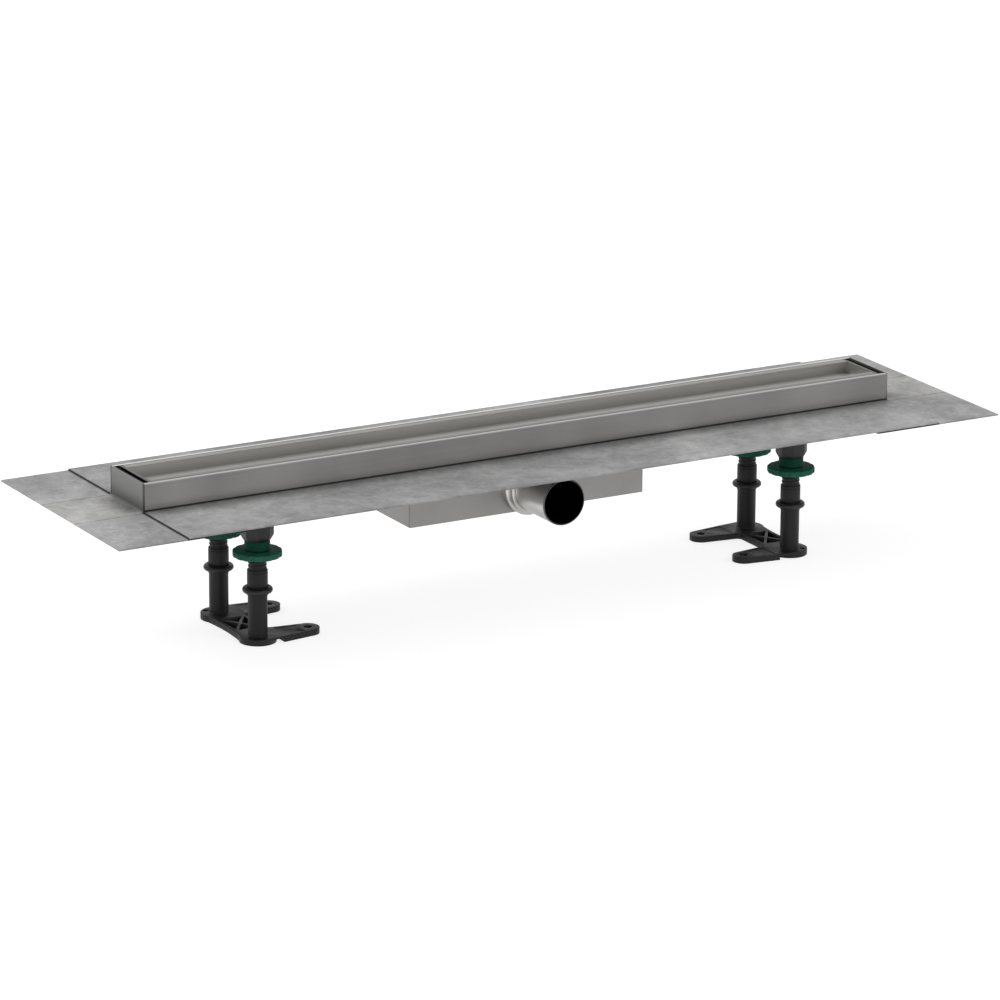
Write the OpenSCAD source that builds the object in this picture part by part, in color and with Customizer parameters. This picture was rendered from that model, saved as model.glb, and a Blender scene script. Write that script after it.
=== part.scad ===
// Linear shower drain: a folded steel channel with a recessed cover tray, sealing flanges,
// a box trap with a side outlet, and two plastic feet whose height is set by ring nuts.
// Origin on the floor under the middle of the channel. X runs along the channel, the outlet
// points to -Y, and Z is up. All lengths are in millimetres.

/* [Channel] */
// Outside length of the channel
channel_len = 900; // [800:10:1200]
// Outside width of the channel
channel_w = 76.5; // [74:0.5:84]
// Height of the rim above the top of the long flanges
upstand_h = 29.5; // [24:0.5:40]
// Depth of the trough below the corner plates
trough_h = 3.5; // [3:0.5:10]
// Thickness of the folded sheet
sheet_t = 1.5; // [1:0.1:1.8]
// Depth of the folded leaf inside the rim
hem_h = 8; // [5:0.5:9]
// Inside radius of the fold at the foot of each end wall
bend_r = 4; // [1:0.5:6]

/* [Flanges] */
// Reach of the long flanges from the channel wall
flange_reach = 102; // [90:1:120]
// Reach of the end sheets beyond the channel
end_reach = 77; // [60:1:100]
// Length of each corner plate that lies under a long flange
end_lap = 78; // [40:1:88]

/* [Tray] */
// Gap along each side of the tray
side_gap = 1.2; // [0.8:0.1:2]
// Width of the drain slot at each end of the tray
slot_w = 5.2; // [4.2:0.1:8]
// Width of the flat margin along each side
tray_lip_w = 9; // [6:0.5:16]
// Width of the flat margin at each end
tray_end_lip = 3.5; // [3:0.5:10]
// Depth of the recess in the cover
tray_drop = 11.5; // [8:0.5:13]
// Depth of the turned-down skirt
skirt_h = 12; // [8:0.5:16]
// Width of each tray rest along the channel
rest_w = 20; // [14:1:30]

/* [Trap] */
// Length of the trap box
box_len = 284; // [200:2:340]
// Outside diameter of the dip tube
tube_d = 40; // [32:0.5:42]
// Height of the dip tube's mouth above the floor of the trap box
tube_mouth_clear = 9; // [7:0.5:14]

/* [Outlet] */
// Outside diameter of the outlet pipe
pipe_d = 50; // [40:0.5:54]
// Wall of the outlet pipe
pipe_wall = 1.5; // [1:0.1:2.5]
// Distance from the middle of the channel to the pipe's mouth
pipe_reach = 114; // [90:1:135]
// Length of the outlet collar's wide part
collar_len = 9; // [6:0.5:14]
// Length of the outlet collar's narrow part
neck_len = 8; // [4:0.5:12]

/* [Feet] */
// Distance from the end of the channel to the leg axes
foot_inset = 126; // [120:1:160]
// Distance between the two legs of a foot
leg_pitch = 89; // [86:1:100]
// Thickness of the foot base
base_t = 6.5; // [4:0.5:8]
// Radius of the round pad under each leg
pad_r = 19.5; // [17:0.5:24]
// Distance from the leg to the screw hole in the arm
arm_len = 58; // [50:1:80]
// Outside diameter of the leg tube
leg_d = 20.4; // [19:0.1:21]
// Height of the leg tube's top above the floor
leg_h = 59; // [40:1:80]
// Outside diameter of the lock sleeve
sleeve_d = 21.6; // [21.2:0.1:24]
// Length of the lock sleeve
sleeve_h = 19; // [14:0.5:30]
// Thread diameter of the spindle
spindle_d = 19.4; // [18:0.1:19.6]
// Bare thread between the lock sleeve and the ring nut
thread_gap = 14.6; // [10.5:0.1:24]
// Diameter of the ring nut
nut_d = 51.5; // [44:0.5:56]
// Thickness of the ring nut's disc
nut_disc_t = 5.8; // [3:0.1:8]
// Height of the ring nut below the head
nut_h = 16.9; // [12:0.1:20]
// Diameter of the ring nut's hub
hub_d = 26.7; // [26:0.1:29]
// Width of the head across its flats
head_w = 32; // [31:0.5:36]
// Height of the head
head_h = 37; // [30:0.5:50]
// Thickness of the support bracket
bracket_t = 2; // [1.5:0.1:3]
// Section diameter of the damper ring
damper_s = 6; // [5:0.1:8]

/* [Hidden] */

// Extra length of every cut, so that it runs clear through
cut = 1;
$fn = 48;

// Heights, stacked up from the floor
z_sleeve = leg_h;
z_thread = z_sleeve + sleeve_h;
z_nut = z_thread + thread_gap;
z_head = z_nut + nut_h;
z_bracket = z_head + head_h;
z_trough = z_bracket + bracket_t;
z_plate = z_trough + trough_h;
z_flange = z_plate + sheet_t;
z_flange_top = z_flange + sheet_t;
z_rim = z_flange_top + upstand_h;

// Plan positions
end_x = channel_len / 2;
wall_y = channel_w / 2;
leg_x = end_x - foot_inset;
leg_y = leg_pitch / 2;

// Rim fold: gap between its two leaves, and its whole width
hem_gap = 0.5;
hem_w = 2 * sheet_t + hem_gap;
// Radius of the folds along the bottom of the channel
fold_r = 3;
// How far the body's end flaps rise behind the end caps
flap_lap = 8;

// Tray, set a little below the rim
tray_set = 0.2;
// Run of the steep sides of the tray's recess
tray_slope = 0.8;
tray_len = channel_len - 2 * (hem_w + slot_w);
tray_w = channel_w - 2 * (hem_w + side_gap);
z_tray = z_rim - tray_set;
z_tray_under = z_tray - tray_drop - sheet_t;
// Tray rests: places along the channel as shares of its half length
rest_place_share = [-0.84, -0.32, 0.32, 0.84];
// Height of the trough's floor
z_floor = z_trough + sheet_t;
// Clear strip between the rests' feet and the channel walls, and width of the feet
rest_side_clear = 4;
rest_foot_w = 8;

// Trap box, as wide as the channel: what it leaves free under and over the outlet's hole
box_w = channel_w;
pipe_floor_clear = 1.5;
pipe_top_clear = 0.5;
box_h = pipe_d + pipe_floor_clear + pipe_top_clear + 2 * sheet_t;
z_box = z_trough - box_h;
// In-turned lip along the top of the box
box_lip_w = 6;
// Flange of the dip tube, its seal and the recess that holds the strainer
tube_wall = 2;
tube_flange_t = 3;
tube_flange_rim = 4;
// Play of the dip tube's flange between the folds of the channel
tube_flange_play = 0.25;
// How far the flange of the dip tube laps over the edge of the inlet hole
flange_lap = 4;
tube_flange_d = channel_w - 2 * (fold_r + tube_flange_play);
inlet_d = tube_flange_d - 2 * flange_lap;
strainer_d = tube_flange_d - 2 * tube_flange_rim;
seal_t = 1.5;
z_seal_top = z_floor + seal_t;
// Trap cup, which passes through the inlet hole
cup_clear = 2;
cup_d = inlet_d - 2 * cup_clear;
cup_wall = 2;
cup_foot_h = 3;
cup_foot_inset = 6;
cup_top_clear = 6;
strainer_t = 1.2;
strainer_lip = 3;
strainer_h = 5;
strainer_hole_d = 4;
strainer_ring_holes = 8;
strainer_grip_d = 8;
strainer_grip_h = 6;

// Outlet
z_pipe = z_box + sheet_t + pipe_floor_clear + pipe_d / 2;
box_front_y = -box_w / 2;
// The collar's wide part ends just under the long flange, and its narrow part stands off the pipe
collar_stand = trough_h + 2 * sheet_t;
collar_d = pipe_d + 2 * collar_stand;
neck_stand = 3.5;
neck_r = pipe_d / 2 + neck_stand;
neck_wall = 1.5;
seal_r = neck_r - neck_wall;
collar_round = 2.5;
collar_lip = 1.5;
// Bevel of the pipe's outer edge at its mouth
pipe_bevel = 0.7;
// How much slimmer the pipe is inside its collar, and how far off the collar its shoulder stands
pipe_root_step = 0.4;
pipe_root_clear = 0.5;
pipe_root_r = pipe_d / 2 - pipe_root_step;

// Foot base
arm_tip_r = 12.5;
arm_tuck = 0.1;
arm_hole_d = 9;
// The arm's wing begins beside the pad, behind a gap that only a thin web covers
wing_x = pad_r + 2.8;
wing_half_w = 17.2;
notch_y = 2.5;
web_t = 2;
arm_pocket_rim = 3;
arm_pocket_depth = 0.6;
bar_inner_x = 19;
bar_waist_x = 15;
bar_waist_end = 17.3;
bar_waist_drop = 36;
// Sagitta and half chord of the waist give its radius
waist_r = (pow(bar_waist_drop, 2) + pow(bar_waist_end - bar_waist_x, 2))
    / (2 * (bar_waist_end - bar_waist_x));
truss_rim = 3;
truss_rib = 3;
truss_floor = 1.5;
truss_end_clear = 24;
ear_hole_d = 4.5;
ear_seat_d = 6.4;
ear_seat_depth = 1;
ear_hole_r = 14.4;
ear_angle = 45;
// Chamfer at the root of the leg tube
root_run = 0.8;
// Bore of the leg tube and the ring that the damper sits on
leg_bore_d = 14.6;
seat_ring_h = 3;
leg_floor_t = 3;

// Leg pieces
damper_z = z_sleeve - damper_s / 2;
// How much smaller the damper ring's bore is, before it is pushed over the leg tube
damper_squeeze = 0.3;
damper_d = leg_d + 2 * (damper_s - damper_squeeze);
spindle_shank_d = 14;
spindle_shank_len = 38;
// Room above the spindle for the foot to be drawn in
spindle_head_room = 10.5;
sleeve_bevel = 1;
groove_w = 1;
groove_depth = 0.5;
groove_drop = 2;
// Running clearance of the nut on the thread and of its neck in the head
run_fit = 0.08;
// Clearance of the spindle in the head, which it never touches
free_fit = 0.5;
nut_neck_len = 8;
nut_neck_wall = 2.3;
nut_neck_room = 0.3;
scallops = 14;
scallop_r = 4;
scallop_depth = 1.4;
nut_rim_bevel = 0.6;
head_sides = 8;
head_chamfer = 2.9;
head_chamfer_h = 5.5;
// Clip cheeks of the head over the bracket's edges
cheek_t = 1.8;
cheek_len = 8;
cheek_shift = 2;
hook_h = 1.5;
hook_reach = 1.2;
clip_fit = 0.2;
bracket_w = head_w - 2 * cheek_t - 2 * clip_fit;
bracket_len = leg_pitch + head_w + 2 * bracket_t;

// Colours
steel = [0.62, 0.62, 0.60];
pickled = [0.58, 0.58, 0.58];
satin = [0.72, 0.71, 0.69];
black = [0.12, 0.12, 0.12];
green = [0.10, 0.36, 0.27];
rubber = [0.06, 0.06, 0.06];

// Square with its corners rounded to r, centred
module round_rect(w, h, r) {
    square([w - 2 * r, h], center = true);
    square([w, h - 2 * r], center = true);
    for (sx = [-1, 1], sy = [-1, 1])
        translate([sx * (w / 2 - r), sy * (h / 2 - r)]) circle(r);
}

// Runs a profile drawn in Y and Z along X, centred
module along_x(len) {
    rotate([90, 0, 90]) translate([0, 0, -len / 2]) linear_extrude(len) children();
}

// Runs a profile drawn in X and Z along Y, centred
module along_y(len) {
    rotate([90, 0, 0]) translate([0, 0, -len / 2]) linear_extrude(len) children();
}

module channel_section() {
    inner_r = fold_r - sheet_t;
    wall_h = z_rim - z_trough;
    for (s = [-1, 1]) {
        translate([s * (wall_y - sheet_t / 2), z_trough + fold_r + (wall_h - fold_r) / 2])
            square([sheet_t, wall_h - fold_r], center = true);
        translate([s * (wall_y - hem_w / 2), z_rim - sheet_t / 2])
            square([hem_w, sheet_t], center = true);
        translate([s * (wall_y - hem_w + sheet_t / 2), z_rim - hem_h / 2])
            square([sheet_t, hem_h], center = true);
        translate([s * (wall_y - fold_r), z_trough + fold_r]) intersection() {
            difference() {
                circle(fold_r);
                circle(max(inner_r, sheet_t / 3));
            }
            translate([s > 0 ? 0 : -fold_r, -fold_r]) square(fold_r);
        }
    }
    translate([0, z_trough + sheet_t / 2])
        square([channel_w - 2 * fold_r, sheet_t], center = true);
}

module channel_body() {
    body_len = channel_len - 2 * sheet_t;
    flap_w = channel_w - 2 * fold_r;
    flap_h = z_plate + flap_lap - z_trough;
    color(steel) difference() {
        union() {
            along_x(body_len) channel_section();
            for (s = [-1, 1])
                translate([s * (body_len - sheet_t) / 2, 0, z_trough + flap_h / 2])
                    cube([sheet_t, flap_w, flap_h], center = true);
        }
        translate([0, 0, z_trough - cut]) cylinder(d = inlet_d, h = sheet_t + 2 * cut, $fn = 96);
    }
}

// End wall and end sheet, folded from one strip; s is -1 at the left and 1 at the right
module end_cap(s) {
    wall_h = z_rim - z_plate;
    color(pickled) {
        along_y(channel_w) mirror([s < 0 ? 1 : 0, 0]) {
            translate([end_x - sheet_t, z_plate]) square([sheet_t, wall_h]);
            translate([end_x - sheet_t, z_plate]) square([end_reach + sheet_t, sheet_t]);
            translate([end_x, z_plate + sheet_t]) difference() {
                square(bend_r);
                translate([bend_r, bend_r]) circle(bend_r);
            }
        }
        along_y(channel_w - 2 * hem_w) mirror([s < 0 ? 1 : 0, 0]) {
            translate([end_x - hem_w, z_rim - sheet_t]) square([hem_w, sheet_t]);
            translate([end_x - hem_w, z_rim - hem_h]) square([sheet_t, hem_h]);
        }
    }
}

// Long flange; s is -1 in front and 1 behind
module long_flange(s) {
    color(pickled) translate([0, s * (wall_y + flange_reach / 2), z_flange + sheet_t / 2])
        cube([channel_len, flange_reach, sheet_t], center = true);
}

// Corner plate under the end of a long flange
module corner_plate(sx, sy) {
    plate_len = end_reach + end_lap;
    color(pickled)
        translate([sx * (end_x + end_reach - plate_len / 2), sy * (wall_y + flange_reach / 2),
            z_plate + sheet_t / 2])
            cube([plate_len, flange_reach, sheet_t], center = true);
}

// Block whose four sides slope in by run over its depth, its top face at z = 0
module hip(len, w, depth, run) {
    intersection() {
        along_x(len)
            polygon([[-w / 2, 0], [w / 2, 0], [w / 2 - run, -depth], [run - w / 2, -depth]]);
        along_y(w)
            polygon([[-len / 2, 0], [len / 2, 0], [len / 2 - run, -depth], [run - len / 2, -depth]]);
    }
}

module tray() {
    recess_len = tray_len - 2 * tray_end_lip;
    recess_w = tray_w - 2 * tray_lip_w;
    color(steel) translate([0, 0, z_tray]) difference() {
        union() {
            difference() {
                translate([0, 0, -skirt_h]) linear_extrude(skirt_h)
                    round_rect(tray_len, tray_w, sheet_t);
                translate([0, 0, -(skirt_h + sheet_t) / 2 - cut / 2])
                    cube([tray_len - 2 * sheet_t, tray_w - 2 * sheet_t, skirt_h - sheet_t + cut],
                        center = true);
            }
            hip(recess_len + 2 * sheet_t, recess_w + 2 * sheet_t, tray_drop + sheet_t, tray_slope);
        }
        translate([0, 0, cut]) hip(recess_len + 2 * cut * tray_slope / tray_drop,
            recess_w + 2 * cut * tray_slope / tray_drop, tray_drop + cut,
            tray_slope + cut * tray_slope / tray_drop);
    }
}

// Folded rest that carries the tray, welded to the trough's floor
module tray_rest(i) {
    foot_y = wall_y - sheet_t - rest_side_clear;
    leg_in_y = foot_y - rest_foot_w;
    rest_h = z_tray_under - z_floor;
    color(steel) translate([rest_place_share[i] * end_x, 0, z_floor]) along_x(rest_w) {
        translate([0, rest_h - sheet_t / 2]) square([2 * leg_in_y, sheet_t], center = true);
        for (s = [-1, 1]) {
            translate([s * (leg_in_y - sheet_t / 2), rest_h / 2])
                square([sheet_t, rest_h], center = true);
            translate([s * (leg_in_y + rest_foot_w / 2 - sheet_t / 2), sheet_t / 2])
                square([rest_foot_w + sheet_t, sheet_t], center = true);
        }
    }
}

module trap_box() {
    box_r = fold_r;
    color(satin) difference() {
        translate([0, 0, z_box]) linear_extrude(box_h) round_rect(box_len, box_w, box_r);
        translate([0, 0, z_box + sheet_t]) linear_extrude(box_h - 2 * sheet_t)
            round_rect(box_len - 2 * sheet_t, box_w - 2 * sheet_t, box_r - sheet_t);
        translate([0, 0, z_box + box_h / 2]) linear_extrude(box_h)
            square([box_len - 2 * box_lip_w, box_w - 2 * box_lip_w], center = true);
        translate([0, box_front_y + sheet_t + cut, z_pipe]) rotate([90, 0, 0])
            cylinder(r = pipe_root_r, h = sheet_t + 2 * cut, $fn = 96);
    }
}

module trap_seal() {
    color(rubber) translate([0, 0, z_floor]) difference() {
        cylinder(d = tube_flange_d, h = seal_t, $fn = 96);
        translate([0, 0, -cut]) cylinder(d = inlet_d, h = seal_t + 2 * cut, $fn = 96);
    }
}

module dip_tube() {
    z_mouth = z_box + sheet_t + tube_mouth_clear;
    seat_depth = strainer_t;
    color(black) difference() {
        union() {
            translate([0, 0, z_seal_top]) cylinder(d = tube_flange_d, h = tube_flange_t, $fn = 96);
            translate([0, 0, z_mouth]) cylinder(d = tube_d, h = z_seal_top - z_mouth, $fn = 96);
        }
        translate([0, 0, z_mouth - cut])
            cylinder(d = tube_d - 2 * tube_wall, h = z_seal_top + tube_flange_t, $fn = 96);
        translate([0, 0, z_seal_top + tube_flange_t - seat_depth])
            cylinder(d = strainer_d, h = seat_depth + cut, $fn = 96);
    }
}

module trap_cup() {
    z_base = z_box + sheet_t;
    cup_h = box_h - sheet_t - cup_top_clear;
    foot_d = cup_d - 2 * cup_foot_inset;
    color(black) translate([0, 0, z_base]) difference() {
        union() {
            translate([0, 0, cup_foot_h]) cylinder(d = cup_d, h = cup_h - cup_foot_h, $fn = 96);
            cylinder(d = foot_d, h = cup_foot_h + cup_wall, $fn = 96);
        }
        translate([0, 0, cup_foot_h + cup_wall])
            cylinder(d = cup_d - 2 * cup_wall, h = cup_h, $fn = 96);
        translate([0, 0, -cut]) cylinder(d = foot_d - 2 * cup_wall, h = cup_foot_h + cut, $fn = 96);
    }
}

module hair_strainer() {
    basket_d = tube_d - 2 * tube_wall - 2 * clip_fit;
    z_lip = z_seal_top + tube_flange_t - strainer_t;
    hole_ring_r = basket_d / 2 - strainer_t - strainer_hole_d;
    color(satin) translate([0, 0, z_lip]) difference() {
        union() {
            difference() {
                union() {
                    cylinder(d = strainer_d - 2 * clip_fit, h = strainer_t, $fn = 96);
                    translate([0, 0, -strainer_h])
                        cylinder(d = basket_d, h = strainer_h, $fn = 96);
                }
                translate([0, 0, strainer_t - strainer_h])
                    cylinder(d = basket_d - 2 * strainer_t, h = strainer_h + cut, $fn = 96);
            }
            translate([0, 0, -strainer_h])
                cylinder(d = strainer_grip_d, h = strainer_h + strainer_grip_h);
        }
        for (i = [0 : strainer_ring_holes - 1])
            rotate([0, 0, i * 360 / strainer_ring_holes])
                translate([hole_ring_r, 0, -strainer_h - cut])
                    cylinder(d = strainer_hole_d, h = strainer_t + 2 * cut, $fn = 24);
    }
}

// Places a turned part on the outlet's axis, its z = 0 on the front of the trap box
module on_outlet() {
    translate([0, box_front_y, z_pipe]) rotate([90, 0, 0]) children();
}

module outlet_collar() {
    r = collar_d / 2;
    color(satin) on_outlet() rotate_extrude($fn = 128) difference() {
        union() {
            square([r, collar_len - collar_round]);
            square([r - collar_round, collar_len]);
            translate([r - collar_round, collar_len - collar_round]) circle(collar_round);
            square([neck_r, collar_len + neck_len - collar_lip]);
            square([neck_r - collar_lip, collar_len + neck_len]);
            translate([neck_r - collar_lip, collar_len + neck_len - collar_lip]) circle(collar_lip);
        }
        square([seal_r, collar_len + neck_len - collar_lip]);
        square([pipe_root_r, collar_len + neck_len + cut]);
    }
}

module outlet_seal() {
    color(rubber) on_outlet() rotate_extrude($fn = 128)
        translate([pipe_root_r, 0])
            square([seal_r - pipe_root_r, collar_len + neck_len - collar_lip]);
}

module outlet_pipe() {
    pipe_len = pipe_reach + box_front_y + sheet_t;
    color(satin) on_outlet() rotate_extrude($fn = 128)
        polygon([
            [pipe_d / 2 - pipe_wall, -sheet_t], [pipe_root_r, -sheet_t],
            [pipe_root_r, collar_len + neck_len + pipe_root_clear],
            [pipe_d / 2, collar_len + neck_len + pipe_root_clear],
            [pipe_d / 2, pipe_len - sheet_t - pipe_bevel],
            [pipe_d / 2 - pipe_bevel, pipe_len - sheet_t],
            [pipe_d / 2 - pipe_wall, pipe_len - sheet_t]
        ]);
}

// Cradle under the trough that the two heads of a foot clip on to
module bracket(s) {
    end_h = z_flange - z_bracket;
    color(steel) translate([s * leg_x, 0, 0]) along_x(bracket_w) {
        translate([0, z_bracket + bracket_t / 2])
            square([bracket_len, bracket_t], center = true);
        for (t = [-1, 1])
            translate([t * (bracket_len - bracket_t) / 2, z_bracket + end_h / 2])
                square([bracket_t, end_h], center = true);
    }
}

// Places a leg piece; sx is -1 at the left, sy is -1 in front
module at_leg(sx, sy) {
    translate([sx * leg_x, sy * leg_y, 0]) children();
}

nut_bore_r = spindle_d / 2 + run_fit;
nut_neck_r = nut_bore_r + nut_neck_wall;
z_spindle_top = z_bracket - spindle_head_room;

module head(sx, sy) {
    flat_r = head_w / 2 / cos(180 / head_sides);
    color(black) at_leg(sx, sy) difference() {
        union() {
            difference() {
                translate([0, 0, z_head]) rotate([0, 0, 180 / head_sides])
                    cylinder(r = flat_r, h = head_h, $fn = head_sides);
                for (i = [0 : head_sides - 1])
                    rotate([0, 0, i * 360 / head_sides])
                        translate([head_w / 2 - head_chamfer, 0, z_head])
                            rotate([0, atan2(head_chamfer, head_chamfer_h), 0])
                                translate([head_w / 2, 0, 0]) cube(head_w, center = true);
            }
            for (t = [-1, 1]) {
                translate([t * (head_w - cheek_t) / 2, sy * cheek_shift,
                    z_bracket + (bracket_t + hook_h) / 2])
                    cube([cheek_t, cheek_len, bracket_t + hook_h], center = true);
                translate([t * (head_w - cheek_t - hook_reach) / 2, sy * cheek_shift,
                    z_bracket + bracket_t + hook_h / 2])
                    cube([cheek_t + hook_reach, cheek_len, hook_h], center = true);
            }
        }
        translate([0, 0, z_head - cut]) cylinder(r = nut_neck_r + run_fit,
            h = nut_neck_len + nut_neck_room + cut, $fn = 96);
        translate([0, 0, z_head])
            cylinder(r = spindle_d / 2 + free_fit, h = head_h + cut, $fn = 96);
    }
}

module ring_nut(sx, sy) {
    color(green) at_leg(sx, sy) translate([0, 0, z_nut]) difference() {
        union() {
            rotate_extrude($fn = 128) polygon([
                [0, 0], [nut_d / 2 - nut_rim_bevel, 0], [nut_d / 2, nut_rim_bevel],
                [nut_d / 2, nut_disc_t - nut_rim_bevel],
                [nut_d / 2 - nut_rim_bevel, nut_disc_t], [0, nut_disc_t]
            ]);
            cylinder(d = hub_d, h = nut_h, $fn = 96);
            cylinder(r = nut_neck_r, h = nut_h + nut_neck_len, $fn = 96);
        }
        translate([0, 0, -cut])
            cylinder(r = nut_bore_r, h = nut_h + nut_neck_len + 2 * cut, $fn = 96);
        for (i = [0 : scallops - 1])
            rotate([0, 0, i * 360 / scallops])
                translate([nut_d / 2 + scallop_r - scallop_depth, 0, -cut])
                    cylinder(r = scallop_r, h = nut_disc_t + 2 * cut, $fn = 24);
    }
}

module spindle(sx, sy) {
    color(black) at_leg(sx, sy) {
        translate([0, 0, z_sleeve])
            cylinder(d = spindle_d, h = z_spindle_top - z_sleeve, $fn = 96);
        translate([0, 0, z_sleeve - spindle_shank_len])
            cylinder(d = spindle_shank_d, h = spindle_shank_len, $fn = 64);
    }
}

module lock_sleeve(sx, sy) {
    r = sleeve_d / 2;
    color(black) at_leg(sx, sy) translate([0, 0, z_sleeve]) rotate_extrude($fn = 96) polygon([
        [spindle_d / 2, 0], [r, 0],
        [r, sleeve_h - groove_drop - groove_w], [r - groove_depth, sleeve_h - groove_drop - groove_w],
        [r - groove_depth, sleeve_h - groove_drop], [r, sleeve_h - groove_drop],
        [r, sleeve_h - sleeve_bevel], [r - sleeve_bevel / 2, sleeve_h], [spindle_d / 2, sleeve_h]
    ]);
}

module damper(sx, sy) {
    color(rubber) at_leg(sx, sy) translate([0, 0, damper_z]) difference() {
        rotate_extrude($fn = 96) translate([(damper_d - damper_s) / 2, 0]) circle(d = damper_s);
        translate([0, 0, -damper_s]) cylinder(d = leg_d, h = 2 * damper_s, $fn = 96);
    }
}

// Angle of an arm's side: a line from the wing's corner that runs just inside the round tip
function arm_side_angle() =
    acos((arm_tip_r - arm_tuck) / norm([wing_half_w, arm_len - wing_x]))
    - atan2(arm_len - wing_x, wing_half_w);

// Outline of one arm, along +X from the leg at the origin; rim narrows it all round
module arm_outline(rim) {
    a = arm_side_angle();
    tip = arm_tip_r - rim;
    touch = (tip - arm_tuck) * [sin(a), cos(a)] + [arm_len, 0];
    polygon([
        [wing_x + rim, wing_half_w - rim / cos(a)], touch, [touch[0], -touch[1]],
        [wing_x + rim, rim / cos(a) - wing_half_w]
    ]);
    translate([arm_len, 0]) circle(tip, $fn = 64);
}

// Plan of the foot base, its legs at (0, -leg_y) and (0, leg_y), its arms along +X
module base_outline() {
    difference() {
        translate([-bar_waist_end, -leg_y]) square([bar_waist_end + bar_inner_x, leg_pitch]);
        translate([-bar_waist_x - waist_r, 0]) circle(waist_r, $fn = 128);
    }
    for (s = [-1, 1]) translate([0, s * leg_y]) {
        circle(pad_r, $fn = 96);
        arm_outline(0);
        polygon([
            [0, s * notch_y], [wing_x, s * notch_y], [wing_x, -s * wing_half_w],
            [bar_inner_x, -s * (wing_half_w + wing_x - bar_inner_x)],
            [0, -s * (wing_half_w + wing_x - bar_inner_x)]
        ]);
    }
}

// Triangular pockets of the bar's crossed ribs
module truss_pockets() {
    x0 = -bar_waist_x + truss_rim;
    x1 = bar_inner_x - truss_rim;
    h = leg_y - truss_end_clear;
    difference() {
        translate([x0, -h]) square([x1 - x0, 2 * h]);
        for (s = [-1, 1]) translate([(x0 + x1) / 2, 0]) rotate([0, 0, s * atan2(x1 - x0, 2 * h)])
            square([truss_rib, 4 * h], center = true);
    }
}

module foot_base(sx) {
    color(black) translate([sx * leg_x, 0, 0]) mirror([sx > 0 ? 1 : 0, 0, 0]) difference() {
        union() {
            linear_extrude(base_t) base_outline();
            translate([0, 0, base_t - web_t]) linear_extrude(web_t) for (s = [-1, 1])
                translate([0, s * leg_y]) polygon([
                    [0, 0], [0, s * (pad_r - arm_tuck)], [wing_x, s * wing_half_w], [wing_x, 0]
                ]);
            for (s = [-1, 1]) translate([0, s * leg_y, 0]) rotate_extrude($fn = 96) {
                square([leg_d / 2, leg_h]);
                translate([0, leg_h - damper_s - seat_ring_h])
                    square([sleeve_d / 2, seat_ring_h]);
                polygon([
                    [0, 0], [leg_d / 2 + root_run, 0], [leg_d / 2 + root_run, base_t],
                    [leg_d / 2, base_t + root_run], [0, base_t + root_run]
                ]);
            }
        }
        for (s = [-1, 1]) translate([0, s * leg_y, 0]) {
            translate([0, 0, leg_floor_t])
                cylinder(d = leg_bore_d, h = leg_h, $fn = 64);
            translate([arm_len, 0, -cut]) cylinder(d = arm_hole_d, h = base_t + 2 * cut, $fn = 48);
            translate([0, 0, base_t - arm_pocket_depth]) linear_extrude(base_t)
                difference() {
                    arm_outline(arm_pocket_rim);
                    translate([arm_len, 0]) circle(arm_tip_r, $fn = 64);
                }
            rotate([0, 0, s * (90 + ear_angle)]) translate([ear_hole_r, 0, 0]) {
                translate([0, 0, -cut]) cylinder(d = ear_hole_d, h = base_t + 2 * cut, $fn = 32);
                translate([0, 0, base_t - ear_seat_depth])
                    cylinder(d = ear_seat_d, h = ear_seat_depth + cut, $fn = 32);
            }
        }
        translate([0, 0, truss_floor]) linear_extrude(base_t) truss_pockets();
    }
}

channel_body();
end_cap(-1);  // left_end_cap
end_cap(1);  // right_end_cap
long_flange(-1);  // front_flange
long_flange(1);  // rear_flange
corner_plate(-1, -1);  // left_front_corner_plate
corner_plate(-1, 1);  // left_rear_corner_plate
corner_plate(1, -1);  // right_front_corner_plate
corner_plate(1, 1);  // right_rear_corner_plate
tray();
tray_rest(0);  // tray_rest_1
tray_rest(1);  // tray_rest_2
tray_rest(2);  // tray_rest_3
tray_rest(3);  // tray_rest_4
trap_box();
dip_tube();
trap_seal();
trap_cup();
hair_strainer();
outlet_collar();
outlet_seal();
outlet_pipe();
bracket(-1);  // left_bracket
bracket(1);  // right_bracket
head(-1, -1);  // left_front_head
head(-1, 1);  // left_rear_head
head(1, -1);  // right_front_head
head(1, 1);  // right_rear_head
ring_nut(-1, -1);  // left_front_nut
ring_nut(-1, 1);  // left_rear_nut
ring_nut(1, -1);  // right_front_nut
ring_nut(1, 1);  // right_rear_nut
foot_base(-1);  // left_foot_base
foot_base(1);  // right_foot_base
spindle(-1, -1);  // left_front_spindle
spindle(-1, 1);  // left_rear_spindle
spindle(1, -1);  // right_front_spindle
spindle(1, 1);  // right_rear_spindle
lock_sleeve(-1, -1);  // left_front_sleeve
lock_sleeve(-1, 1);  // left_rear_sleeve
lock_sleeve(1, -1);  // right_front_sleeve
lock_sleeve(1, 1);  // right_rear_sleeve
damper(-1, -1);  // left_front_damper
damper(-1, 1);  // left_rear_damper
damper(1, -1);  // right_front_damper
damper(1, 1);  // right_rear_damper
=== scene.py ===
"""Looks of the linear shower drain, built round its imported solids. All lengths are in metres.

The frame is the part's own: the origin is on the floor under the middle of the channel,
X runs along the channel, the outlet points to -Y, and Z is up.
"""

import math

import bmesh
import bpy
from mathutils import Matrix, Vector

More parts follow.
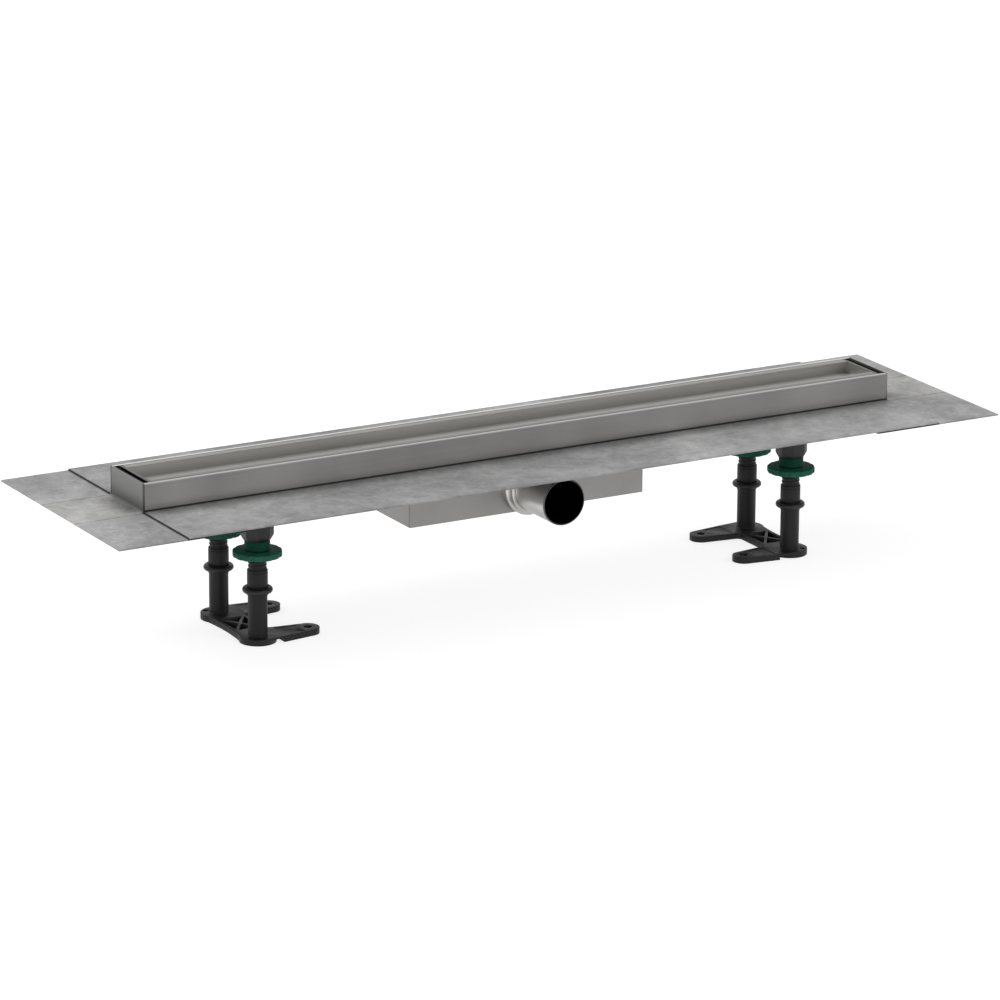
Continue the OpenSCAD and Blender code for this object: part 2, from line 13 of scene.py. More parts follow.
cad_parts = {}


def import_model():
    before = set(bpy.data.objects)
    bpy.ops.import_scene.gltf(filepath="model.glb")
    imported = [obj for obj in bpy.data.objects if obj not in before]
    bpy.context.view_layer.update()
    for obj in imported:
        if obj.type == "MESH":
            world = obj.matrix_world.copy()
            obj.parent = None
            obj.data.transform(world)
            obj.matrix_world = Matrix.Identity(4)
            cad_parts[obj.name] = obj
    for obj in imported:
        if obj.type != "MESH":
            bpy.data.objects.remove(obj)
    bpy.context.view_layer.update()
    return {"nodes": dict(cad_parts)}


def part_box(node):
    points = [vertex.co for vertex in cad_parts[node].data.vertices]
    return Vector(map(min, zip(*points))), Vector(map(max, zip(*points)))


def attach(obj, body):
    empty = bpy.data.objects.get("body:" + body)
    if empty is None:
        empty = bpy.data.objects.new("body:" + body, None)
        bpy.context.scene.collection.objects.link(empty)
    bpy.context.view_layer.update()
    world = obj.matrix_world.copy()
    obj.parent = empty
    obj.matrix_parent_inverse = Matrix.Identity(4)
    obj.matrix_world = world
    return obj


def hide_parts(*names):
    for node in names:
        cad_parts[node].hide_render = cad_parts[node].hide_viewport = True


SIDES = ("left", "right")
ROWS = ("front", "rear")

# Camera of the photograph, fitted to the corners of the channel and its flanges
CAMERA_PLACE = (-2.88423, -5.06198, 1.83118)
CAMERA_YAW = math.radians(29.569)
CAMERA_PITCH = math.radians(16.602)
CAMERA_ROLL = math.radians(-0.3614)
SENSOR = 36.0
LENS = 206.197

# Edges of the moulded pieces that are rounded for the light to catch
PLASTIC_ROUND = 0.0004
SHARP_ANGLE = math.radians(30)

# Thread of the spindles: a trapezoid groove, cut below the solid's own radius, as pairs of
# a place within one pitch and a share of the full depth
THREAD_PITCH = 0.004
THREAD_DEPTH = 0.0006
THREAD_STEPS = 64
THREAD_ROWS = 16
THREAD_SHAPE = ((0.0, 0.0), (0.38, 0.0), (0.50, 1.0), (0.86, 1.0), (1.0, 0.0))
SHANK_LENGTH = 0.038
SHANK_RADIUS = 0.007
TOP_CHAMFER = 0.0012

# Places that the materials' shades follow
WALL_Y = 0.03825
END_X = 0.450
PLATE_Z = 0.1520
END_SHEET_Z = 0.1535
FLANGE_Z = 0.155
TRAY_Z = 0.1843
RECESS_DEPTH = 0.0115
RECESS_END = 0.4370
TRAY_END = 0.4413
RIM_Z = 0.1845
HEM_WIDTH = 0.0035
FLANGE_EDGE_Y = 0.14025
PIPE_Z = 0.1215
PIPE_BORE_RADIUS = 0.0235
NUT_DISC_TOP = 0.0984
DAMPER_Z = 0.0560
BASE_TOP = 0.0065
PIPE_MOUTH_Y = 0.1140

# Linear tones of the steel; the tables pair a place with the tone there
WALL_TONE = 0.26
# Painted highlight on the rims' tops, front and rear
RIM_TONES = (0.47, 0.67)
# Painted light and shade across the cover's margins, its recess floor and walls, its recess ends and its end lips
MARGIN_SHADES = ((-0.0335, 0.12), (-0.0290, 0.18), (-0.0245, 0.31), (0.0245, 0.24), (0.0335, 0.31))
RECESS_FLOOR_SHADES = ((0.0090, 0.42), (0.0115, 0.455), (0.0130, 0.45), (0.0165, 0.43), (0.0200, 0.37),
                       (0.0235, 0.26))
RECESS_WALL_SHADES = ((0.0, 0.232), (0.33, 0.288), (0.67, 0.387), (1.0, 0.42))
RECESS_END_TONES = (0.55, 0.36)
END_LIP_TONE = 0.10
FLANGE_TONE = 0.35
CAP_TONE = 0.30
# Painted shadow, near black: in the drain slots, on the cover's skirt there, and inside the outlet
PAINTED_SHADOW_TONE = 0.015


# Node helpers
class Nodes:
    """A short way to write a material's node tree."""

    def __init__(self, name):
        self.material = bpy.data.materials.new(name)
        self.material.use_nodes = True
        self.tree = self.material.node_tree
        self.tree.nodes.clear()
        self.out = self.tree.nodes.new("ShaderNodeOutputMaterial")

    def add(self, kind, inputs=None, **settings):
        node = self.tree.nodes.new(kind)
        for key, value in settings.items():
            setattr(node, key, value)
        for key, value in (inputs or {}).items():
            socket = node.inputs[key]
            if isinstance(value, bpy.types.NodeSocket):
                self.tree.links.new(value, socket)
            else:
                socket.default_value = value
        return node

    def math(self, operation, a, b=0.0, clamp=False):
        return self.add("ShaderNodeMath", {0: a, 1: b}, operation=operation, use_clamp=clamp).outputs[0]

    def object_point(self):
        return self.add("ShaderNodeTexCoord").outputs["Object"]

    def scaled(self, vector, scale):
        return self.add("ShaderNodeMapping", {"Vector": vector, "Scale": scale}).outputs[0]

    def noise(self, vector, scale, detail=3.0, roughness=0.5, distortion=0.0):
        return self.add("ShaderNodeTexNoise", {
            "Vector": vector, "Scale": scale, "Detail": detail, "Roughness": roughness,
            "Distortion": distortion}).outputs["Fac"]

    def ramp(self, factor, stops):
        node = self.add("ShaderNodeValToRGB", {"Fac": factor})
        elements = node.color_ramp.elements
        while len(elements) < len(stops):
            elements.new(0.5)
        for element, (place, colour) in zip(elements, stops):
            element.position = place
            element.color = (*colour, 1.0)
        return node.outputs["Color"]

    def spread(self, factor, low, high, to_low, to_high):
        return self.add("ShaderNodeMapRange", {
            "Value": factor, "From Min": low, "From Max": high, "To Min": to_low, "To Max": to_high}).outputs[0]

    def axes(self):
        """The object's own X, Y and Z at that place."""
        split = self.add("ShaderNodeSeparateXYZ", {0: self.object_point()})
        return split.outputs[0], split.outputs[1], split.outputs[2]

    def smooth(self, value, low, high, to_low=0.0, to_high=1.0):
        """A soft step from one value to another, level beyond both ends."""
        return self.add("ShaderNodeMapRange", {
            "Value": value, "From Min": low, "From Max": high, "To Min": to_low, "To Max": to_high},
            interpolation_type="SMOOTHSTEP").outputs[0]

    def profile(self, value, shades):
        """The tone at that place in a table of places and tones."""
        first, last = shades[0][0], shades[-1][0]
        return self.ramp(self.spread(value, first, last, 0.0, 1.0),
                         [((place - first) / (last - first), grey(tone)) for place, tone in shades])

    def size(self, value):
        return self.math("ABSOLUTE", value)

    def product(self, *factors):
        result = factors[0]
        for factor in factors[1:]:
            result = self.math("MULTIPLY", result, factor)
        return result

    def between(self, mask, a, b):
        """a where the mask is 0 and b where it is 1."""
        return self.add("ShaderNodeMix", {0: mask, 2: a, 3: b}).outputs[0]

    def tint(self, tone, warmth=0.0):
        """A grey of that tone, a little warmer or cooler."""
        return self.add("ShaderNodeCombineColor", {
            0: self.math("MULTIPLY", tone, 1 + warmth), 1: tone,
            2: self.math("MULTIPLY", tone, 1 - 1.6 * warmth)}).outputs[0]

    def bump(self, height, strength, distance, normal=None):
        inputs = {"Height": height, "Strength": strength, "Distance": distance}
        if normal is not None:
            inputs["Normal"] = normal
        return self.add("ShaderNodeBump", inputs).outputs[0]

    def finish(self, **inputs):
        names = {key.replace("_", " ").title().replace("Ior", "IOR"): value for key, value in inputs.items()}
        shader = self.add("ShaderNodeBsdfPrincipled", names)
        self.tree.links.new(shader.outputs[0], self.out.inputs["Surface"])
        return self.material


def grey(value, warmth=0.0):
    """A grey of that linear value, a little warmer or cooler."""
    return (value * (1 + warmth), value, value * (1 - 1.6 * warmth))


# Materials
def grained(n, grain_scale, share, cloud_scale, cloud_share):
    """Relative tone of a brushed sheet, and its grain for the bump."""
    point = n.object_point()
    grain = n.noise(n.scaled(point, grain_scale), 1.0, 4.0, 0.65)
    cloud = n.noise(n.scaled(point, cloud_scale), 1.0, 3.0, 0.5)
    tone = n.product(n.spread(grain, 0.3, 0.7, 1 - share, 1 + share),
                     n.spread(cloud, 0.3, 0.7, 1 - cloud_share, 1 + cloud_share))
    return tone, grain


def channel_steel():
    """Brushed channel: bright rims with a painted highlight, and walls with painted shade that darkens to a thin
    line at their foot.
    """
    n = Nodes("channel_steel")
    x, y, z = n.axes()
    tone, grain = grained(n, (4.0, 1100.0, 1100.0), 0.05, (9.0, 3.0, 3.0), 0.13)
    # Painted shade: the wall darkens towards its foot and ends in a thin dark line there; below the flange it takes
    # a flat 0.75 instead
    foot = n.product(n.smooth(z, FLANGE_Z, FLANGE_Z + 0.010, 0.78, 1.0),
                     n.smooth(z, FLANGE_Z + 0.0010, FLANGE_Z + 0.0024, 0.15, 1.0))
    under = n.smooth(z, PLATE_Z - 0.0010, PLATE_Z, 1.0, 0.0)
    # Painted shading also makes the wall lighter low down than up high, and a painted highlight runs along its top
    # edge
    tone = n.product(tone, WALL_TONE, n.spread(z, FLANGE_Z, RIM_Z, 1.56, 1.04), n.between(under, foot, 0.75),
                     n.smooth(z, RIM_Z - 0.0013, RIM_Z - 0.0006, 1.0, 1.60))
    # Painted highlight on the rims' tops, lighter on the rear rim than the front
    rims = n.smooth(y, -0.03, 0.03, RIM_TONES[0], RIM_TONES[1])
    rim = n.smooth(z, RIM_Z - 0.0004, RIM_Z - 0.0002)
    tone = n.between(rim, tone, n.product(rims, n.spread(grain, 0.3, 0.7, 0.92, 1.08)))
    # The rim's inner leaf carries the rims' painted highlight beside the tray, and is black with painted shadow in
    # the drain slots
    leaf = n.smooth(n.size(y), WALL_Y - HEM_WIDTH + 0.0001, WALL_Y - HEM_WIDTH + 0.0003, 1.0, 0.0)
    inner = n.between(n.smooth(n.size(x), TRAY_END - 0.0004, TRAY_END + 0.0004), rims, PAINTED_SHADOW_TONE)
    tone = n.between(n.product(leaf, n.smooth(z, RIM_Z - 0.0085, RIM_Z - 0.007)), tone, inner)
    return n.finish(base_color=n.tint(tone, 0.02), metallic=1.0,
                    roughness=n.spread(grain, 0.3, 0.7, 0.32, 0.44), normal=n.bump(grain, 0.04, 0.0001))


def tray_steel():
    """Brushed cover with painted light and shade: light margins round a deep recess whose painted shade is darkest
    at its rear wall's foot.
    """
    n = Nodes("tray_steel")
    x, y, z = n.axes()
    tone, grain = grained(n, (4.0, 1100.0, 1100.0), 0.05, (8.0, 30.0, 30.0), 0.05)
    # Painted light and shade: tone tables across the margins and down the recess, with darker end lips
    end = n.smooth(n.size(x), TRAY_END - 0.0041, TRAY_END - 0.0035)
    margin = n.between(end, n.profile(y, MARGIN_SHADES), END_LIP_TONE)
    floor_z = TRAY_Z - RECESS_DEPTH
    wall = n.between(n.smooth(x, RECESS_END - 0.0004, RECESS_END - 0.0001),
                     n.profile(n.spread(z, floor_z, TRAY_Z, 0.0, 1.0), RECESS_WALL_SHADES),
                     n.spread(z, floor_z, TRAY_Z, *RECESS_END_TONES))
    recess = n.between(n.smooth(z, floor_z + 0.0002, floor_z + 0.0005),
                       n.profile(y, RECESS_FLOOR_SHADES), wall)
    shade = n.between(n.smooth(z, TRAY_Z - 0.0004, TRAY_Z - 0.0002), recess, margin)
    # Painted shadow: the skirt at the ends is black where it faces into the drain slots
    skirt = n.product(n.smooth(n.size(x), TRAY_END - 0.0006, TRAY_END - 0.0003),
                      n.smooth(z, TRAY_Z - 0.0010, TRAY_Z - 0.0006, 1.0, 0.0))
    shade = n.between(skirt, shade, PAINTED_SHADOW_TONE)
    return n.finish(base_color=n.tint(n.product(tone, shade), 0.025), metallic=1.0,
                    roughness=n.spread(grain, 0.3, 0.7, 0.34, 0.46), normal=n.bump(grain, 0.04, 0.0001))


def pickled(n):
    """Relative tone of a sheet with the cloudy stains of the pickling bath, and its two noises."""
    point = n.object_point()
    stain = n.noise(point, 4.5, 2.0, 0.5)
    cloud = n.noise(point, 11.0, 4.0, 0.6, 0.5)
    blotch = n.noise(point, 45.0, 4.0, 0.6, 0.4)
    patch = n.noise(point, 105.0, 3.0, 0.6, 0.3)
    fleck = n.noise(point, 210.0, 3.0, 0.6)
    speck = n.noise(point, 700.0, 2.0, 0.6)
    tone = n.product(n.spread(stain, 0.38, 0.62, 0.84, 1.16), n.spread(cloud, 0.3, 0.7, 0.80, 1.20),
                     n.spread(blotch, 0.3, 0.7, 0.86, 1.14), n.spread(patch, 0.3, 0.7, 0.91, 1.09),
                     n.spread(fleck, 0.3, 0.7, 0.93, 1.07), n.spread(speck, 0.3, 0.7, 0.94, 1.06), FLANGE_TONE)
    return tone, cloud, speck


def pickled_steel(name, edges):
    """Dull flange sheet; edges(n, x, y, z) gives the relative tone near its own edges."""
    n = Nodes(name)
    tone, cloud, speck = pickled(n)
    return n.finish(base_color=n.tint(n.product(tone, edges(n, *n.axes()))), metallic=0.35,
                    roughness=n.spread(cloud, 0.3, 0.7, 0.66, 0.52),
                    specular_ior_level=0.3, normal=n.bump(speck, 0.10, 0.0001))


def flange_edges(n, x, y, z):
    """Painted shade by the wall, and painted shadow on the sheared end at the left."""
    wall = n.smooth(n.size(y), WALL_Y, WALL_Y + 0.028, 0.55, 1.0)
    line = n.smooth(n.size(y), WALL_Y + 0.0008, WALL_Y + 0.0026, 0.55, 1.0)
    # Painted shadow on the left end only; the right end is left light
    end = n.smooth(x, -END_X + 0.0007, -END_X + 0.0011, 0.14, 1.0)
    outer = n.smooth(n.size(y), FLANGE_EDGE_Y - 0.012, FLANGE_EDGE_Y, 1.0, 0.90)
    return n.product(wall, line, end, outer)


def plate_edges(n, x, y, z):
    """Painted shade at the step up to the long flange, a painted shadow strip under it, and the dark seam."""
    # Painted shade on the plate's top from the step on, lifted again past the right end
    step = n.between(n.smooth(z, PLATE_Z + 0.0007, PLATE_Z + 0.0012), 1.0,
                     n.smooth(x, -END_X - 0.0022, -END_X, 1.0, 0.35))
    seam = n.smooth(n.size(y), WALL_Y + 0.0004, WALL_Y + 0.0016, 0.30, 1.0)
    outer = n.smooth(n.size(y), FLANGE_EDGE_Y - 0.0003, FLANGE_EDGE_Y - 0.0001)
    # Painted shadow: the plate's front edge is almost black where it runs under the long flange
    lap = n.product(outer, n.smooth(n.size(x), END_X + 0.0002, END_X + 0.0008, 1.0, 0.0))
    right = n.smooth(x, END_X, END_X + 0.0001)
    return n.between(lap, n.product(n.math("MAXIMUM", step, right), seam), 0.06)


def cap_steel():
    """End wall, brushed like the channel, that runs over a fold toned down with painted shade into its pickled
    sheet.
    """
    n = Nodes("cap_steel")
    x, y, z = n.axes()
    reach = n.size(x)
    tone, cloud, speck = pickled(n)
    # Painted shade on the sheet beside the wall, fading out towards its sides
    fades = n.smooth(n.size(y), 0.018, WALL_Y, 1.0, 0.15)
    sheet = n.product(tone, n.between(fades, 1.0, n.smooth(reach, END_X + 0.002, END_X + 0.030, 0.48, 1.0)))
    brushed, grain = grained(n, (1100.0, 1100.0, 6.0), 0.05, (4.0, 12.0, 4.0), 0.08)
    corner = n.product(n.smooth(x, -0.01, 0.01, 1.0, 0.0),
                       n.smooth(n.size(y), WALL_Y - 0.0026, WALL_Y - 0.0014))
    # Painted shade darkens the wall towards its foot
    wall = n.product(brushed, CAP_TONE, n.smooth(z, FLANGE_Z - 0.001, FLANGE_Z + 0.016, 0.50, 1.0),
                     n.smooth(z, RIM_Z - 0.0003, RIM_Z - 0.0001, 1.0, 0.66),
                     n.between(corner, 1.0, 0.40))
    # Painted shadow: inside the drain slots the leaf is black, and most of the right-hand rim is too
    inner = n.product(n.smooth(reach, END_X - 0.0031, END_X - 0.0028, 1.0, 0.0),
                      n.smooth(z, RIM_Z - 0.0006, RIM_Z - 0.0003, 1.0, 0.0))
    edge = n.between(n.smooth(x, -0.01, 0.01), n.smooth(reach, END_X - 0.0022, END_X - 0.0014, 1.0, 0.0),
                     n.smooth(reach, END_X - 0.0014, END_X - 0.0002, 1.0, 0.0))
    edge = n.product(edge, n.smooth(z, RIM_Z - 0.0006, RIM_Z - 0.0002))
    dark = n.math("MAXIMUM", inner, edge)
    wall = n.between(dark, wall, 0.01)
    above = n.smooth(z, END_SHEET_Z + 0.0004, END_SHEET_Z + 0.002)
    # The fold between the two catches the light of the floor, so it's toned down
    fold = n.product(n.smooth(z, END_SHEET_Z + 0.0001, END_SHEET_Z + 0.0005),
                     n.smooth(z, END_SHEET_Z + 0.0020, END_SHEET_Z + 0.0050, 1.0, 0.0))
    tone = n.product(n.between(above, sheet, wall), n.between(fold, 1.0, 0.50))
    dark = n.product(dark, above)
    rough = n.between(above, n.spread(cloud, 0.3, 0.7, 0.66, 0.52), n.spread(grain, 0.3, 0.7, 0.38, 0.50))
    return n.finish(base_color=n.tint(tone, 0.01),
                    metallic=n.between(dark, n.between(above, 0.35, 0.9), 0.0),
                    roughness=n.between(dark, rough, 0.95),
                    specular_ior_level=0.3, normal=n.bump(speck, 0.06, 0.0001))


def satin_steel(name, low, high, rough_low, rough_high):
    """Smooth stainless of the trap and the outlet."""
    n = Nodes(name)
    point = n.object_point()
    cloud = n.noise(point, 22.0, 3.0, 0.5)
    fine = n.noise(point, 900.0, 2.0, 0.5)
    colour = n.ramp(cloud, [(0.3, grey(low, 0.02)), (0.7, grey(high, 0.02))])
    rough = n.spread(cloud, 0.3, 0.7, rough_low, rough_high)
    return n.finish(base_color=colour, metallic=1.0, roughness=rough,
                    normal=n.bump(fine, 0.03, 0.0001))


def plastic(name, low, high, rough, gloss):
    """Moulded plastic with a fine eroded surface and faint flow marks, and painted shade that darkens a tube's
    foot.
    """
    n = Nodes(name)
    point = n.object_point()
    x, y, z = n.axes()
    flow = n.noise(n.scaled(point, (60.0, 60.0, 18.0)), 1.0, 3.0, 0.5, 0.6)
    grain = n.noise(point, 2600.0, 2.0, 0.6)
    foot = n.product(n.smooth(z, BASE_TOP + 0.0002, BASE_TOP + 0.0006), n.smooth(z, 0.012, 0.042, 1.0, 0.0))
    tone = n.product(n.spread(flow, 0.3, 0.7, low, high), n.between(foot, 1.0, 0.45))
    return n.finish(base_color=n.tint(tone), roughness=n.spread(flow, 0.3, 0.7, rough - 0.05, rough + 0.06),
                    specular_ior_level=gloss, normal=n.bump(grain, 0.10, 0.0001))


def green_plastic():
    """Moulded ring nut: a light disc, and a hub in a darker green of painted shade that is almost black at its
    foot.
    """
    n = Nodes("green_plastic")
    point = n.object_point()
    x, y, z = n.axes()
    flow = n.noise(n.scaled(point, (60.0, 60.0, 18.0)), 1.0, 3.0, 0.5, 0.6)
    grain = n.noise(point, 2600.0, 2.0, 0.6)
    disc = n.ramp(flow, [(0.3, (0.022, 0.135, 0.087)), (0.7, (0.032, 0.178, 0.114))])
    # Painted shade: the hub takes a darker green than the disc, and near-black at its foot
    hub = n.ramp(flow, [(0.3, (0.006, 0.066, 0.038)), (0.7, (0.010, 0.088, 0.053))])
    foot = (0.001, 0.025, 0.012, 1.0)
    hub = n.add("ShaderNodeMix", {0: n.smooth(z, NUT_DISC_TOP + 0.0005, NUT_DISC_TOP + 0.0035), 6: foot, 7: hub},
                data_type="RGBA").outputs[2]
    colour = n.add("ShaderNodeMix", {0: n.smooth(z, NUT_DISC_TOP - 0.0001, NUT_DISC_TOP + 0.0003), 6: disc, 7: hub},
                   data_type="RGBA").outputs[2]
    return n.finish(base_color=colour, roughness=n.spread(flow, 0.3, 0.7, 0.50, 0.60),
                    specular_ior_level=0.06, normal=n.bump(grain, 0.10, 0.0001))


def rubber(name):
    """Smooth rubber with a faint bloom, its ring black above in painted shade and a little lighter below."""
    n = Nodes(name)
    point = n.object_point()
    x, y, z = n.axes()
    bloom = n.noise(point, 240.0, 3.0, 0.6)
    # Painted shade: the ring is darker above its middle than below
    low = n.smooth(z, DAMPER_Z - 0.0012, DAMPER_Z - 0.0002, 0.017, 0.011)
    tone = n.product(low, n.spread(bloom, 0.3, 0.7, 0.8, 1.2))
    return n.finish(base_color=n.tint(tone), roughness=0.48, specular_ior_level=0.4,
                    normal=n.bump(bloom, 0.08, 0.0001))


def outlet_steel():
    """Light satin outlet with a painted highlight band along its sides, painted shade on its mouth's rim, and
    painted shadow that makes it black inside.
    """
    n = Nodes("outlet_steel")
    point = n.object_point()
    x, y, z = n.axes()
    cloud = n.noise(point, 22.0, 3.0, 0.5)
    fine = n.noise(point, 900.0, 2.0, 0.5)
    up = n.math("SUBTRACT", z, PIPE_Z)
    radius = n.math("SQRT", n.math("ADD", n.product(x, x), n.product(up, up)))
    # Painted highlight: a band along the pipe's sides is lighter than its top and underside, and painted shade
    # tones down the mouth's rim
    band = n.product(n.smooth(up, -0.012, -0.001), n.smooth(up, 0.007, 0.020, 1.0, 0.0))
    outside = n.product(n.spread(cloud, 0.3, 0.7, 0.42, 0.50), n.between(band, 1.0, 1.55),
                        n.smooth(y, -PIPE_MOUTH_Y + 0.0006, -PIPE_MOUTH_Y + 0.0010, 0.18, 1.0))
    # Painted shadow: inside the bore the pipe is black
    tone = n.between(n.smooth(radius, PIPE_BORE_RADIUS + 0.0001, PIPE_BORE_RADIUS + 0.0003),
                     PAINTED_SHADOW_TONE, outside)
    return n.finish(base_color=n.tint(tone, 0.02), metallic=1.0, roughness=n.spread(cloud, 0.3, 0.7, 0.38, 0.46),
                    normal=n.bump(fine, 0.03, 0.0001))


# Pieces
def paint(objects, material):
    for o in objects:
        o.data.materials.clear()
        o.data.materials.append(material)


def linked(name, mesh):
    o = bpy.data.objects.new(name, mesh)
    bpy.context.scene.collection.objects.link(o)
    return o


def shade(mesh, angle=SHARP_ANGLE):
    mesh.polygons.foreach_set("use_smooth", [True] * len(mesh.polygons))
    mesh.set_sharp_from_angle(angle=angle)


def softened(node, body, width, segments=2):
    """A copy of a CAD node with its sharp edges rounded, which stands for it."""
    source = nodes[node]
    bm = bmesh.new()
    bm.from_mesh(source.data)
    bmesh.ops.remove_doubles(bm, verts=bm.verts, dist=2e-6)
    bmesh.ops.dissolve_limit(bm, angle_limit=math.radians(0.6), verts=bm.verts, edges=bm.edges)
    sharp = [e for e in bm.edges if len(e.link_faces) == 2 and e.calc_face_angle() > SHARP_ANGLE]
    bmesh.ops.bevel(bm, geom=sharp, offset=width, offset_type="OFFSET", segments=segments,
                    profile=0.5, affect="EDGES", clamp_overlap=True)
    mesh = bpy.data.meshes.new(node + "_piece")
    bm.to_mesh(mesh)
    bm.free()
    shade(mesh, math.radians(50))
    piece = linked(node + "_piece", mesh)
    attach(piece, body)
    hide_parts(node)
    return piece


def groove(turn):
    """Share of the thread's depth at that place within one pitch."""
    for (a, start), (b, end) in zip(THREAD_SHAPE, THREAD_SHAPE[1:]):
        if turn <= b:
            return start + (end - start) * (turn - a) / (b - a)
    return 0.0


def spindle(side, row):
    """The spindle with its thread: a rod whose rings follow a right-hand helix."""
    node = f"{side}_{row}_spindle"
    low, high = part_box(node)
    x, y = (low.x + high.x) / 2, (low.y + high.y) / 2
    radius = (high.x - low.x) / 2
    start, end = low.z + SHANK_LENGTH, high.z
    rings = [(low.z, None, SHANK_RADIUS), (start, None, SHANK_RADIUS)]
    count = round((end - start) / THREAD_PITCH * THREAD_ROWS)
    for i in range(count + 1):
        z = start + (end - start) * i / count
        rings.append((z, (z - start) / THREAD_PITCH, radius - max(0.0, TOP_CHAMFER - (end - z))))
    bm = bmesh.new()
    loops = []
    for z, turns, r in rings:
        loop = []
        for k in range(THREAD_STEPS):
            angle = 2 * math.pi * k / THREAD_STEPS
            cut = 0.0 if turns is None else THREAD_DEPTH * groove((turns - k / THREAD_STEPS) % 1.0)
            near = min(r, radius - cut)
            loop.append(bm.verts.new((x + near * math.cos(angle), y + near * math.sin(angle), z)))
        loops.append(loop)
    for lower, upper in zip(loops, loops[1:]):
        for k in range(THREAD_STEPS):
            j = (k + 1) % THREAD_STEPS
            bm.faces.new((lower[k], lower[j], upper[j], upper[k]))
    bm.faces.new(list(reversed(loops[0])))
    bm.faces.new(loops[-1])
    mesh = bpy.data.meshes.new(node + "_piece")
    bm.to_mesh(mesh)
    bm.free()
    shade(mesh, math.radians(40))
    piece = linked(node + "_piece", mesh)
    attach(piece, f"{side}_foot")
    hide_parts(node)
    return piece


# Stage
def camera():
    """The camera as fitted to the photograph."""
    forward = Vector((math.sin(CAMERA_YAW) * math.cos(CAMERA_PITCH),
                      math.cos(CAMERA_YAW) * math.cos(CAMERA_PITCH), -math.sin(CAMERA_PITCH)))
    right = Vector((math.cos(CAMERA_YAW), -math.sin(CAMERA_YAW), 0.0))
    down = forward.cross(right)
    x_axis = right * math.cos(CAMERA_ROLL) + down * math.sin(CAMERA_ROLL)
    y_axis = right * math.sin(CAMERA_ROLL) - down * math.cos(CAMERA_ROLL)
    data = bpy.data.cameras.new("camera")
    data.sensor_width = SENSOR
    data.lens = LENS
    data.clip_end = 200.0
    o = bpy.data.objects.new("camera", data)
    o.matrix_world = Matrix.Translation(CAMERA_PLACE) @ Matrix(
        (x_axis, y_axis, -forward)).transposed().to_4x4()
    bpy.context.scene.collection.objects.link(o)
    bpy.context.scene.camera = o


def floor():
    """A wide pale floor that is white to the eye and keeps the object's shadow."""
    half = 40.0
    bm = bmesh.new()
    bmesh.ops.create_grid(bm, x_segments=1, y_segments=1, size=half)
    mesh = bpy.data.meshes.new("floor")
    bm.to_mesh(mesh)
    bm.free()
    o = linked("floor", mesh)
    n = Nodes("floor")
    path = n.add("ShaderNodeLightPath")
    seen = n.math("MAXIMUM", n.math("MAXIMUM", path.outputs["Is Camera Ray"], path.outputs["Is Glossy Ray"]),
                  path.outputs["Is Transmission Ray"])
    diffuse = n.add("ShaderNodeBsdfDiffuse", {"Color": (0.75, 0.75, 0.75, 1.0)})
    keeps = n.add("ShaderNodeBsdfDiffuse", {"Color": (0.45, 0.45, 0.45, 1.0)})
    glow = n.add("ShaderNodeEmission", {"Color": (1.0, 1.0, 1.0, 1.0), "Strength": 0.78})
    both = n.add("ShaderNodeAddShader", {0: keeps.outputs[0], 1: glow.outputs[0]})
    mix = n.add("ShaderNodeMixShader", {0: seen, 1: diffuse.outputs[0], 2: both.outputs[0]})
    n.tree.links.new(mix.outputs[0], n.out.inputs["Surface"])
    mesh.materials.append(n.material)


def world():
    """White to the eye, a plain grey light to the rest."""
    w = bpy.data.worlds.new("studio")
    w.use_nodes = True
    tree = w.node_tree
    tree.nodes.clear()
    out = tree.nodes.new("ShaderNodeOutputWorld")
    path = tree.nodes.new("ShaderNodeLightPath")
    white = tree.nodes.new("ShaderNodeBackground")
    white.inputs[0].default_value = (1.0, 1.0, 1.0, 1.0)
    white.inputs[1].default_value = 1.0
    light = tree.nodes.new("ShaderNodeBackground")
    light.inputs[0].default_value = (1.0, 1.0, 1.0, 1.0)
    light.inputs[1].default_value = 0.55
    mix = tree.nodes.new("ShaderNodeMixShader")
    first = tree.nodes.new("ShaderNodeMath")
    first.operation = "MAXIMUM"
    second = tree.nodes.new("ShaderNodeMath")
    second.operation = "MAXIMUM"
    tree.links.new(path.outputs["Is Camera Ray"], first.inputs[0])
    tree.links.new(path.outputs["Is Glossy Ray"], first.inputs[1])
    tree.links.new(first.outputs[0], second.inputs[0])
    tree.links.new(path.outputs["Is Transmission Ray"], second.inputs[1])
    tree.links.new(second.outputs[0], mix.inputs[0])
    tree.links.new(light.outputs[0], mix.inputs[1])
    tree.links.new(white.outputs[0], mix.inputs[2])
    tree.links.new(mix.outputs[0], out.inputs["Surface"])
    bpy.context.scene.world = w


def lamp(name, place, target, size, power):
    data = bpy.data.lights.new(name, "AREA")
    data.shape = "RECTANGLE"
    data.size, data.size_y = size
    data.energy = power
    o = bpy.data.objects.new(name, data)
    o.location = place
    o.rotation_euler = (Vector(target) - Vector(place)).to_track_quat("-Z", "Y").to_euler()
    bpy.context.scene.collection.objects.link(o)


def lights():
    lamp("key", (-2.2, 1.6, 2.6), (0, 0, 0.15), (1.6, 1.6), 45.0)
    lamp("fill", (1.5, -3.0, 2.4), (0, 0, 0.15), (2.0, 2.0), 25.0)


# Main
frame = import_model()
nodes = frame["nodes"]

bpy.context.scene.view_settings.view_transform = "Standard"
camera()
floor()
world()
lights()

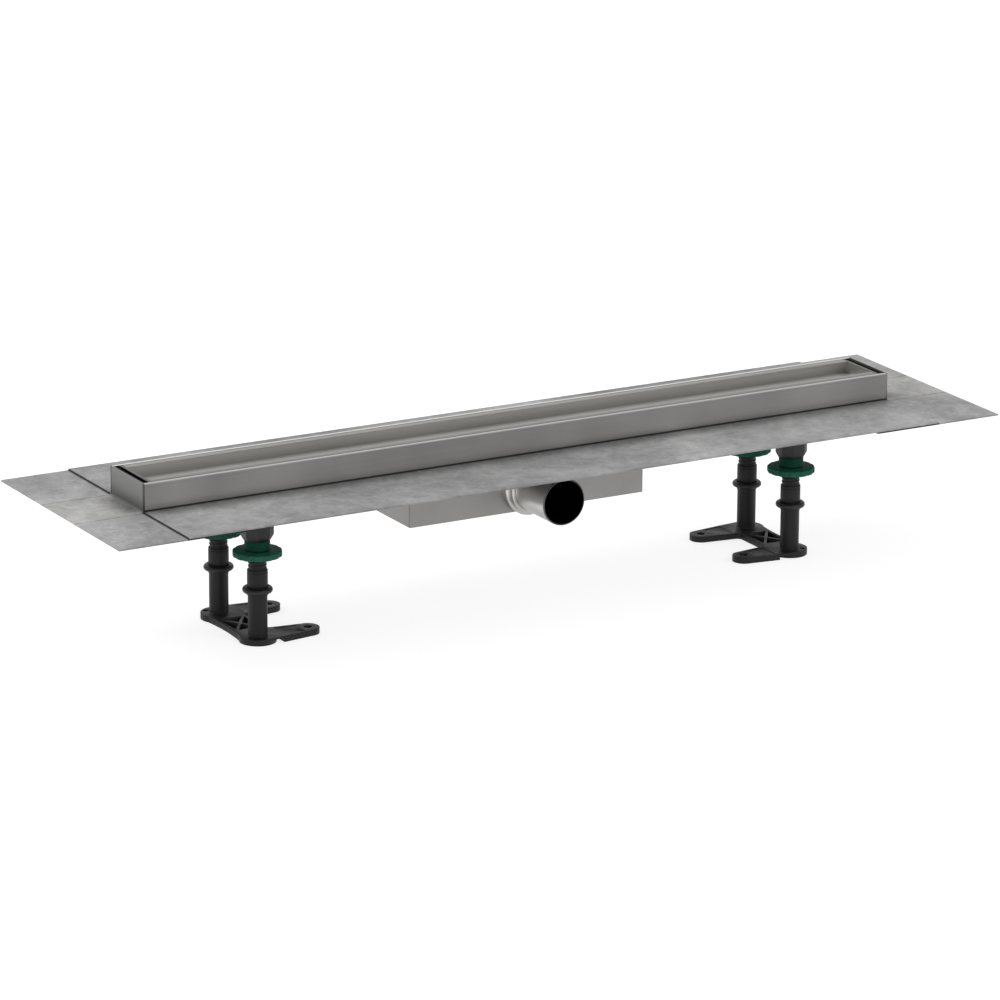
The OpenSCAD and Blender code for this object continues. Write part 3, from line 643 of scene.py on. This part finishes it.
STEEL = channel_steel()
TRAY_STEEL = tray_steel()
FLANGE_STEEL = pickled_steel("flange_steel", flange_edges)
PLATE_STEEL = pickled_steel("plate_steel", plate_edges)
CAP_STEEL = cap_steel()
BRACKET_STEEL = pickled_steel("bracket_steel", lambda n, x, y, z: 1.0)
SATIN = satin_steel("trap_steel", 0.25, 0.30, 0.42, 0.50)
PIPE = outlet_steel()
HEAD_BLACK = plastic("head_plastic", 0.012, 0.020, 0.50, 0.42)
BLACK = plastic("black_plastic", 0.007, 0.012, 0.52, 0.30)
GREEN = green_plastic()
RUBBER = rubber("rubber")


LEGS = [(s, r) for s in SIDES for r in ROWS]
bases = [softened(f"{s}_foot_base", f"{s}_foot", PLASTIC_ROUND) for s in SIDES]
heads = [softened(f"{s}_{r}_head", "drain", PLASTIC_ROUND) for s, r in LEGS]
nuts = [softened(f"{s}_{r}_nut", f"{s}_{r}_nut", PLASTIC_ROUND) for s, r in LEGS]
sleeves = [softened(f"{s}_{r}_sleeve", f"{s}_foot", PLASTIC_ROUND / 2) for s, r in LEGS]
spindles = [spindle(s, r) for s, r in LEGS]

paint([nodes["channel_body"]], STEEL)
paint([nodes["tray"]] + [nodes[f"tray_rest_{i}"] for i in (1, 2, 3, 4)], TRAY_STEEL)
paint([nodes["front_flange"], nodes["rear_flange"]], FLANGE_STEEL)
paint([nodes[f"{s}_{r}_corner_plate"] for s, r in LEGS], PLATE_STEEL)
paint([nodes["left_end_cap"], nodes["right_end_cap"]], CAP_STEEL)
paint([nodes["left_bracket"], nodes["right_bracket"]], BRACKET_STEEL)
paint([nodes["trap_box"]], SATIN)
paint([nodes[n] for n in ("outlet_collar", "outlet_pipe", "hair_strainer")], PIPE)
paint(heads, HEAD_BLACK)
paint([nodes["dip_tube"], nodes["trap_cup"]] + bases + sleeves + spindles, BLACK)
paint(nuts, GREEN)
paint([nodes["trap_seal"], nodes["outlet_seal"]]
      + [nodes[f"{s}_{r}_damper"] for s, r in LEGS], RUBBER)
# What another piece stands for is painted too, since it stays in the scene
paint([nodes[f"{s}_foot_base"] for s in SIDES]
      + [nodes[f"{s}_{r}_{p}"] for s, r in LEGS for p in ("head", "spindle", "sleeve")], BLACK)
paint([nodes[f"{s}_{r}_nut"] for s, r in LEGS], GREEN)
